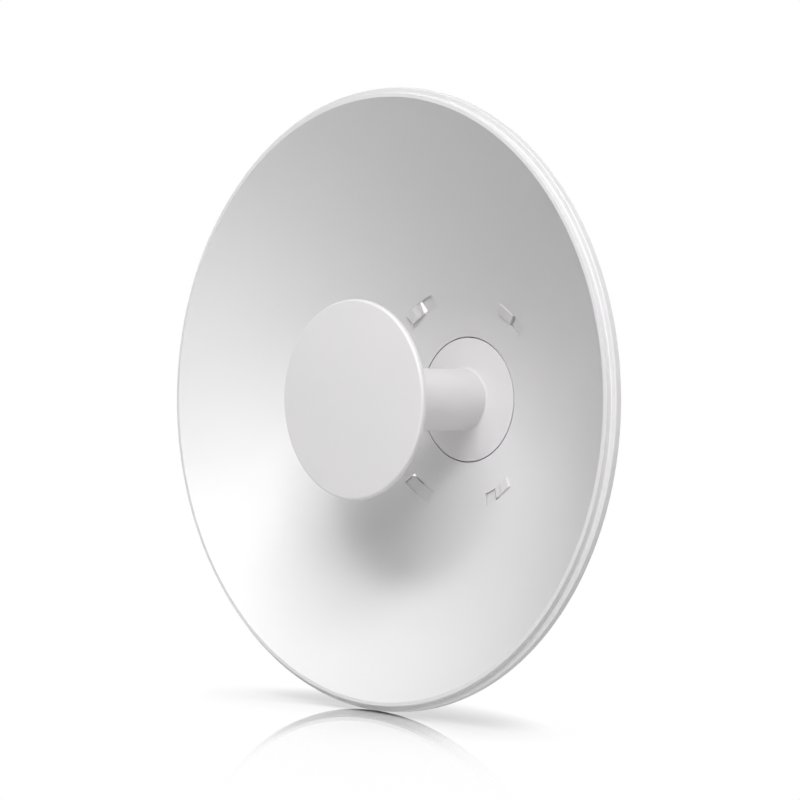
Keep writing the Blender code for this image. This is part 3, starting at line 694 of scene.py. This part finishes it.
def notched_flange(bm, z, y_fold, y_edge, y_notch):
    """A flange with a V notch that seats the pole, its corners cut."""
    cut = 6 * MM if y_edge > y_fold else -6 * MM
    x = FLANGE_X
    flat(bm, [(-x, y_fold, z), (x, y_fold, z), (x, y_edge - cut, z), (x - 6 * MM, y_edge, z),
              (NOTCH_HALF, y_edge, z), (0, y_notch, z), (-NOTCH_HALF, y_edge, z), (-x + 6 * MM, y_edge, z),
              (-x, y_edge - cut, z)])


def make_bracket():
    """One folded sheet: a web, two arms forward beside the housing, two notched flanges to the rear."""
    y = -STEEL / 2
    side, tall = ARM_X + STEEL / 2 - BEND, 34 * MM - STEEL / 2 - BEND
    x, relief = FLANGE_X, 1.5 * MM
    edge_z = (-25.5 * MM, 34 * MM)
    bm = bmesh.new()
    right = [(x, tall), (x, tall - relief), (x + relief, tall - relief), (x + relief, edge_z[1]),
             (side, edge_z[1]), (side, edge_z[0]), (side - 1.5 * MM, edge_z[0] - 2 * MM),
             (x + relief, -tall - 0.5 * MM), (x + relief, -tall + relief), (x, -tall + relief), (x, -tall)]
    flat(bm, [(a, y, z) for a, z in right] + [(-a, y, z) for a, z in right[::-1]])
    for way in (-1, 1):
        start, end = ((way * side, y, z) for z in edge_z)
        fold(bm, start, end, (way * side, y - BEND, 0), way * -90)
        arm = softened([(y - BEND, edge_z[0]), (PIVOT_Y, -15 * MM), (PIVOT_Y - 15 * MM, -15 * MM),
                        (PIVOT_Y - 15 * MM, edge_z[1]), (y - BEND, edge_z[1])], [0, 4 * MM, 12 * MM, 10 * MM, 0], 8)
        flat(bm, [(way * (side + BEND), a, z) for a, z in arm])
        start, end = (-x, y, way * tall), (x, y, way * tall)
        fold(bm, start, end, (0, y + BEND, way * tall), way * -90)
        notched_flange(bm, way * (tall + BEND), y + BEND, 20 * MM, 3 * MM)
    obj = sheet("bracket_sheet", bm)
    for way in (-1, 1):
        hole = solid_box("hole", (way * BOLT_X - HOLE_R, -5 * MM, -HOLE_R),
                         (way * BOLT_X + HOLE_R, 2 * MM, HOLE_R), ZINC)
        obj = combine(obj, hole, "DIFFERENCE")
        low, high = sorted((way * 48 * MM, way * 55 * MM))
        obj = combine(obj, rod("hole", (low, PIVOT_Y, 0), (high, PIVOT_Y, 0), HOLE_R, ZINC), "DIFFERENCE")
        centre = (PIVOT_Y, 0.0)
        ends = [arc_points(centre, LOCK_R, a, a, 1)[0] for a in (72, 108)]
        slot = arc_points(centre, LOCK_R + HOLE_R, 72, 108, 12)
        slot += arc_points(ends[1], HOLE_R, 108, 288, 10)[1:-1]
        slot += arc_points(centre, LOCK_R - HOLE_R, 108, 72, 12)
        slot += arc_points(ends[0], HOLE_R, 252, 432, 10)[1:-1]
        obj = combine(obj, prism("slot", slot, "X", low, high, ZINC), "DIFFERENCE")
    placed(rounded_edges(obj, 0.35 * MM), "pole_bracket")


def make_jaw():
    """The pole's other half: a folded sheet with two notched flanges forward."""
    y, x, tall = JAW_Y + STEEL / 2, FLANGE_X, 28 * MM - STEEL / 2 - BEND
    bm = bmesh.new()
    flat(bm, [(-x, y, -tall), (x, y, -tall), (x, y, tall), (-x, y, tall)])
    for way in (-1, 1):
        fold(bm, (-x, y, way * tall), (x, y, way * tall), (0, y - BEND, way * tall), way * 90)
        notched_flange(bm, way * (tall + BEND), y - BEND, JAW_Y - 17 * MM, JAW_Y - 3 * MM)
    obj = sheet("jaw_sheet", bm)
    for way in (-1, 1):
        hole = rod("hole", (way * BOLT_X, JAW_Y - 3 * MM, 0), (way * BOLT_X, JAW_Y + 5 * MM, 0), HOLE_R, ZINC)
        obj = combine(obj, hole, "DIFFERENCE")
    placed(rounded_edges(obj, 0.35 * MM), "clamp_jaw")


# Fasteners

def hex_body(name, low, high):
    """A hexagon along Z with its upper corners chamfered at 30 degrees."""
    bm = bmesh.new()
    corner = HEX / 2 / math.cos(math.pi / 6)
    bmesh.ops.create_cone(bm, cap_ends=True, segments=6, radius1=corner, radius2=corner, depth=high - low)
    bmesh.ops.translate(bm, vec=(0, 0, (low + high) / 2), verts=bm.verts)
    body = finish_mesh(name, bm, STAINLESS)
    outer, face = corner * 1.06, HEX / 2 * 0.97
    drop = (outer - face) * math.tan(math.radians(30))
    profile = [(0.0, low), (outer, low), (outer, high - drop), (face, high), (0.0, high)]
    bm = bmesh.new()
    verts = [bm.verts.new((r, 0, z)) for r, z in profile]
    edges = [bm.edges.new(pair) for pair in zip(verts, verts[1:])]
    bmesh.ops.spin(bm, geom=verts + edges, cent=(0, 0, 0), axis=(0, 0, 1), angle=math.tau, steps=48, use_merge=True)
    return combine(body, finish_mesh("chamfer", bm, STAINLESS), "INTERSECT", 25)


def moved(obj, place):
    """Moves the mesh, so that the object itself stays at the origin."""
    obj.data.transform(place)
    return obj


def thread(low, high, rows=5, sides=40):
    """A shank along Z with a rolled thread, its end chamfered; it has this many rows of faces to a turn."""
    bm = bmesh.new()
    pitch = 1.25 * MM
    count = int((high - low) / pitch * rows)
    deep = 0.6 * pitch
    rings = []
    for i in range(count + 1):
        z = low + (high - low) * i / count
        ring = []
        for j in range(sides):
            phase = (z / pitch - j / sides) % 1.0
            cut = deep * min(1.0, max(0.0, 1.15 - abs(phase - 0.5) * 2.6))
            reach = SHANK_R - cut * smooth((z - low) / pitch)
            reach = min(reach, SHANK_R - 1.0 * MM + (high - z))
            a = math.tau * j / sides
            ring.append(bm.verts.new((reach * math.cos(a), reach * math.sin(a), z)))
        rings.append(ring)
    skin(bm, rings)
    return finish_mesh("thread", bm, STAINLESS, 50)


def make_clamp_bolts():
    """Carriage bolts with a domed head and square neck, and flange nuts."""
    lay = Matrix.Rotation(math.radians(-90), 4, "X")
    head_y, nut_y = -STEEL - GAP, JAW_Y + STEEL + GAP
    for word, x in (("left", -BOLT_X), ("right", BOLT_X)):
        dome = softened([(0.0, -4.4 * MM), (6 * MM, -3.9 * MM), (10 * MM, -1.0 * MM), (10 * MM, 0), (0, 0)],
                        [0, 9 * MM, 0.6 * MM, 0.3 * MM, 0], 8)
        bolt = turned(f"carriage_bolt_{word}", dome, STAINLESS, 64, head_y, x)
        neck = solid_box("neck", (x - 4 * MM, head_y - 0.3 * MM, -4 * MM), (x + 4 * MM, 0.5 * MM, 4 * MM), STAINLESS,
                         bevel=0.5 * MM, segments=2)
        bolt = combine(bolt, neck, "UNION")
        plain = rod("plain", (x, 0, 0), (x, 30.2 * MM, 0), SHANK_R + 0.03 * MM, STAINLESS, 40)
        bolt = combine(bolt, plain, "UNION")
        shank = moved(thread(30 * MM, 66.7 * MM), Matrix.Translation((x, 0, 0)) @ lay)
        placed(combine(bolt, shank, "UNION"), f"clamp_bolt_{word}")
        flange = softened([(0.0, 0.0), (8.8 * MM, 0.0), (8.8 * MM, 0.8 * MM), (7.2 * MM, 2.0 * MM), (0, 2.0 * MM)],
                          [0, 0.2 * MM, 0.4 * MM, 0, 0], 4)
        nut = moved(hex_body(f"flange_nut_{word}", 1.0 * MM, 8 * MM), Matrix.Translation((x, nut_y, 0)) @ lay)
        nut = combine(nut, turned("flange", flange, STAINLESS, 64, nut_y, x), "UNION")
        hole = turned("hole", [(0, -1 * MM), (5.2 * MM, -1 * MM), (4.2 * MM, 0.6 * MM), (4.2 * MM, 7.3 * MM),
                               (5.2 * MM, 9 * MM), (0, 9 * MM)], STAINLESS, 48, nut_y, x)
        placed(combine(nut, hole, "DIFFERENCE"), f"clamp_nut_{word}")


def make_side_bolts():
    """Hex bolts with a washer face, and their washers, through the bracket's arms into the housing."""
    ring = softened([(4.25 * MM, 0), (8 * MM, 0), (8 * MM, WASHER), (4.25 * MM, WASHER)],
                    [0.15 * MM, 0.25 * MM, 0.25 * MM, 0.15 * MM], 2, closed=True)
    lay = Matrix.Rotation(math.radians(90), 4, "X")
    washer_x = ARM_X + STEEL + GAP
    head_x = washer_x + WASHER + GAP
    for way, word in ((-1, "left"), (1, "right")):
        turn = Matrix.Rotation(math.radians(way * 90), 4, "Y")
        for kind, z in (("pivot", 0.0), ("lock", LOCK_R)):
            washer = turned(f"{kind}_washer_{word}", ring, STAINLESS, 64, 0.0)
            moved(washer, Matrix.Translation((way * washer_x, PIVOT_Y, z)) @ turn @ lay)
            placed(washer, f"{kind}_bolt_{word}_washer")
            head = hex_body(f"{kind}_screw_{word}", 0.4 * MM, 5.3 * MM)
            face = rod("face", (0, 0, 0), (0, 0, 0.6 * MM), 6.2 * MM, STAINLESS)
            head = combine(head, face, "UNION", 25)
            shank = rod("shank", (0, 0, 38.2 * MM - head_x), (0, 0, 0.5 * MM), SHANK_R, STAINLESS)
            head = combine(head, shank, "UNION", 25)
            moved(head, Matrix.Translation((way * head_x, PIVOT_Y, z)) @ turn)
            placed(head, f"{kind}_bolt_{word}")


# Pieces that keep their solid, with softened edges

def softened_node(name, node, mat, width):
    """A merged copy of a CAD node with its edges rounded."""
    bm = bmesh.new()
    bm.from_mesh(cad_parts[node].data)
    bmesh.ops.remove_doubles(bm, verts=bm.verts, dist=1e-6)
    bmesh.ops.dissolve_limit(bm, angle_limit=math.radians(1.0), verts=bm.verts, edges=bm.edges)
    placed(rounded_edges(finish_mesh(name, bm, mat), width), node)


make_reflector()
make_feed()
make_housing()
softened_node("port_lid", "port_cover", HOUSING, 0.4 * MM)
softened_node("cable_outlet_grommet", "cable_grommet", RUBBER, 0.3 * MM)
make_bracket()
make_jaw()
make_clamp_bolts()
make_side_bolts()


# Stage, camera and light

FLOOR_Z = -210.2 * MM
SHADE_REACH = 58 * MM                    # how far the floor's contact shade spreads, and how dark it gets
SHADE_DEPTH = 0.97
SHADE_CURVE = (2.3, 1.6, 0.78)           # how fast it darkens, how softly it begins, and where it is full
FLOOR_BOUNCE = 0.72                      # what the floor gives back to the dish
MIRROR_REACH = 112 * MM                  # where the floor's mirroring has fallen to half, and its share at first
MIRROR_SHARE = 0.66
CAMERA_SIDE = -45.0                      # the camera's side of the dish, in degrees about +Z
LIGHT_AIM = Vector((0.0, RIM_Y + 30 * MM, 0.0))
# name, turn and rise in degrees, distance, width and height in metres, power in watts
SOFTBOXES = (("key_softbox", -10.0, 37.5, 4.5, 2.25, 1.25, 90.0),
             ("key_left_softbox", -30.0, 39.0, 4.5, 1.1, 1.1, 25.0),
             ("key_right_softbox", 18.0, 46.0, 4.5, 1.9, 1.1, 54.0),
             ("low_softbox", -14.0, 20.0, 4.5, 1.5, 1.0, 14.0),
             ("high_softbox", 0.0, 50.0, 4.5, 2.5, 1.0, 14.0),
             ("top_softbox", 0.0, 64.0, 4.5, 2.0, 2.0, 32.0),
             ("left_softbox", -50.0, 52.0, 4.5, 2.0, 2.0, 19.0),
             ("rear_left_softbox", -95.0, 60.0, 4.5, 2.0, 2.0, 10.0),
             ("back_softbox", 165.0, 12.0, 4.4, 1.6, 1.6, 110.0))


def make_floor():
    """White sweep: it glows white, shades close under the dish, and mirrors it there, less and less further off."""
    bm = bmesh.new()
    bmesh.ops.create_grid(bm, x_segments=1, y_segments=1, size=14.0)
    mat = bpy.data.materials.new("white_sweep")
    mat.use_nodes = True
    tree = mat.node_tree
    tree.nodes.clear()
    path = put(tree, "ShaderNodeLightPath")
    cover = put(tree, "ShaderNodeAmbientOcclusion", {"Distance": SHADE_REACH}, samples=24)
    speed, start, full = SHADE_CURVE
    open_sky = put(tree, "ShaderNodeMath", {0: cover.outputs["AO"], 1: speed}, operation="POWER")
    dark = put(tree, "ShaderNodeMath", {0: 1.0, 1: open_sky.outputs[0]}, operation="SUBTRACT")
    dark = put(tree, "ShaderNodeMath", {0: dark.outputs[0], 1: start}, operation="POWER")
    white = put(tree, "ShaderNodeMapRange", {"Value": dark.outputs[0], "From Max": full, "To Min": 1.0,
                                             "To Max": 1.0 - SHADE_DEPTH})
    glow = put(tree, "ShaderNodeEmission", {"Color": (1, 1, 1, 1), "Strength": white.outputs["Result"]})
    gloss = put(tree, "ShaderNodeBsdfGlossy", {"Color": (1, 1, 1, 1), "Roughness": 0.03})
    where = put(tree, "ShaderNodeTexCoord").outputs["Object"]
    away = put(tree, "ShaderNodeVectorMath", {0: where, 1: (0.0, RIM_Y + 12 * MM, 0.0)}, operation="DISTANCE")
    ratio = put(tree, "ShaderNodeMath", {0: away.outputs["Value"], 1: MIRROR_REACH}, operation="DIVIDE")
    fall = put(tree, "ShaderNodeMath", {0: ratio.outputs[0], 1: 4.0}, operation="POWER")
    fall = put(tree, "ShaderNodeMath", {0: fall.outputs[0], 1: 1.0})
    share = put(tree, "ShaderNodeMath", {0: MIRROR_SHARE, 1: fall.outputs[0]}, operation="DIVIDE")
    seen = put(tree, "ShaderNodeMixShader", {0: share.outputs[0], 1: glow.outputs[0], 2: gloss.outputs[0]})
    matte = put(tree, "ShaderNodeBsdfDiffuse", {"Color": (FLOOR_BOUNCE, FLOOR_BOUNCE, FLOOR_BOUNCE, 1)})
    mix = put(tree, "ShaderNodeMixShader", {0: path.outputs["Is Camera Ray"], 1: matte.outputs[0],
                                            2: seen.outputs[0]})
    put(tree, "ShaderNodeOutputMaterial", {"Surface": mix.outputs[0]})
    floor = finish_mesh("studio_floor", bm, mat)
    floor.location = (0, 0, FLOOR_Z)


def make_camera():
    """The camera as solved from the photograph: level with the dish's middle, 45 degrees right of its front."""
    data = bpy.data.cameras.new("photo_camera")
    data.sensor_width = 36.0
    data.lens = 91.21
    data.shift_y = -0.0005
    data.clip_start = 0.05
    data.clip_end = 60.0
    cam = in_scene("photo_camera", data)
    cam.location = (0.98032, RIM_Y - 0.9506, 0.0)
    cam.rotation_euler = (math.radians(90), 0, math.radians(45.0))
    bpy.context.scene.camera = cam


def make_softbox(name, turn, rise, away, width, height, power):
    """A soft light aimed at the dish; it is turned from the camera's side, to the right if positive, and raised."""
    data = bpy.data.lights.new(name, "AREA")
    data.shape = "RECTANGLE"
    data.size = width
    data.size_y = height
    data.energy = power
    lamp = in_scene(name, data)
    round_z, up = math.radians(turn + CAMERA_SIDE), math.radians(rise)
    way = Vector((math.cos(round_z) * math.cos(up), math.sin(round_z) * math.cos(up), math.sin(up)))
    lamp.location = LIGHT_AIM + way * away
    lamp.rotation_euler = (-way).to_track_quat("-Z", "Y").to_euler()
    lamp.visible_glossy = rise > 15.0    # the low back light would show in the floor's mirror


def make_world():
    """White to the lens and in reflections, and no light otherwise."""
    world = bpy.data.worlds.new("studio")
    bpy.context.scene.world = world
    world.use_nodes = True
    tree = world.node_tree
    tree.nodes.clear()
    path = put(tree, "ShaderNodeLightPath")
    seen = put(tree, "ShaderNodeMath", {0: path.outputs["Is Camera Ray"], 1: path.outputs["Is Glossy Ray"]},
               operation="MAXIMUM")
    black = put(tree, "ShaderNodeBackground", {"Color": (1, 1, 1, 1), "Strength": 0.0})
    white = put(tree, "ShaderNodeBackground", {"Color": (1, 1, 1, 1), "Strength": 1.0})
    mix = put(tree, "ShaderNodeMixShader", {0: seen.outputs[0], 1: black.outputs[0], 2: white.outputs[0]})
    put(tree, "ShaderNodeOutputWorld", {"Surface": mix.outputs[0]})


make_floor()
make_camera()
make_world()
for box in SOFTBOXES:
    make_softbox(*box)
bpy.context.scene.view_settings.view_transform = "Standard"
